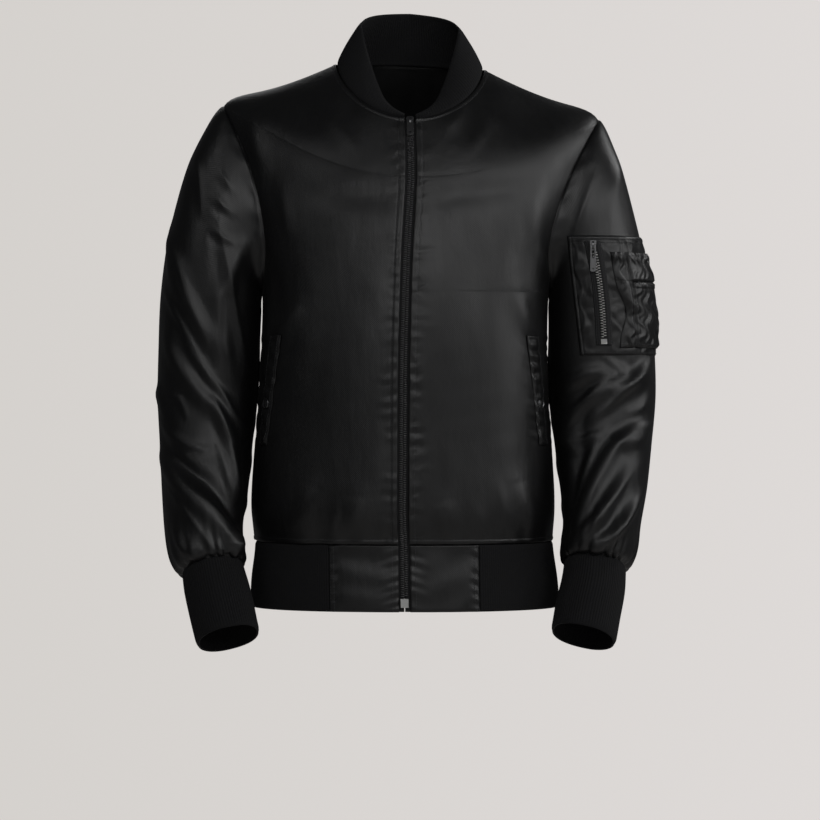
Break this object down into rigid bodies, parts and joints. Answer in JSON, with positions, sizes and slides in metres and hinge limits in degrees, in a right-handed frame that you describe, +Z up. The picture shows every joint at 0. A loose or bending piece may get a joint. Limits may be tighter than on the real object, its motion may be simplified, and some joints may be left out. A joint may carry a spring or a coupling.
{
  "type": "bomber jacket",
  "caption": "Satin bomber jacket in its worn form, hollow, with rib collar, cuffs and hem band, front zip, slanted pockets and a zipped sleeve pocket.",
  "frame": {"origin": "middle of the neck opening, level with the side neck points, where the wearer's shoulders and neck hold the jacket", "axes": "+Z up, the front faces -Y, the wearer's left side is +X"},
  "size_m": [0.6087, 0.266, 0.7736],
  "materials": {
    "satin": "black satin, soft sheen, fine twill face",
    "rib": "matte black rib knit",
    "zip_tape": "matte black woven tape",
    "dark_metal": "black nickel, satin",
    "silver_metal": "bright metal stop"
  },
  "bodies": {
    "root": {"front_right": "satin", "front_left": "satin", "back": "satin", "sleeve_right": "satin", "sleeve_left": "satin", "waistband_panel_right": "satin", "waistband_panel_left": "satin", "pocket_welt_right": "satin", "pocket_welt_left": "satin", "sleeve_pocket": "satin", "pen_pocket": "satin", "pen_pocket_top": "satin", "collar": "rib", "cuff_right": "rib", "cuff_left": "rib", "waistband_rib": "rib", "zip_tape_right": "zip_tape", "zip_tape_left": "zip_tape", "sleeve_zip_tape": "zip_tape", "zip_chain": "dark_metal", "zip_slider": "dark_metal", "pocket_snap_right": "dark_metal", "pocket_snap_left": "dark_metal", "sleeve_zip_chain": "dark_metal", "sleeve_zip_slider": "dark_metal", "zip_box": "silver_metal", "sleeve_zip_stop": "silver_metal"},
    "zip_pull": {"zip_pull": "dark_metal"},
    "sleeve_zip_pull": {"sleeve_zip_pull": "dark_metal"}
  },
  "joints": [
    {"name": "zip_pull_swing", "type": "hinge", "parent": "root", "child": "zip_pull", "pos_m": [0.00012, -0.08919, -0.07161], "axis": [-0.9999, -0.0169, 0], "range_deg": [0, 150]},
    {"name": "sleeve_zip_pull_swing", "type": "hinge", "parent": "root", "child": "sleeve_zip_pull", "pos_m": [0.21661, -0.07459, -0.21765], "axis": [-0.9994, 0.0333, 0], "range_deg": [0, 150]}
  ]
}
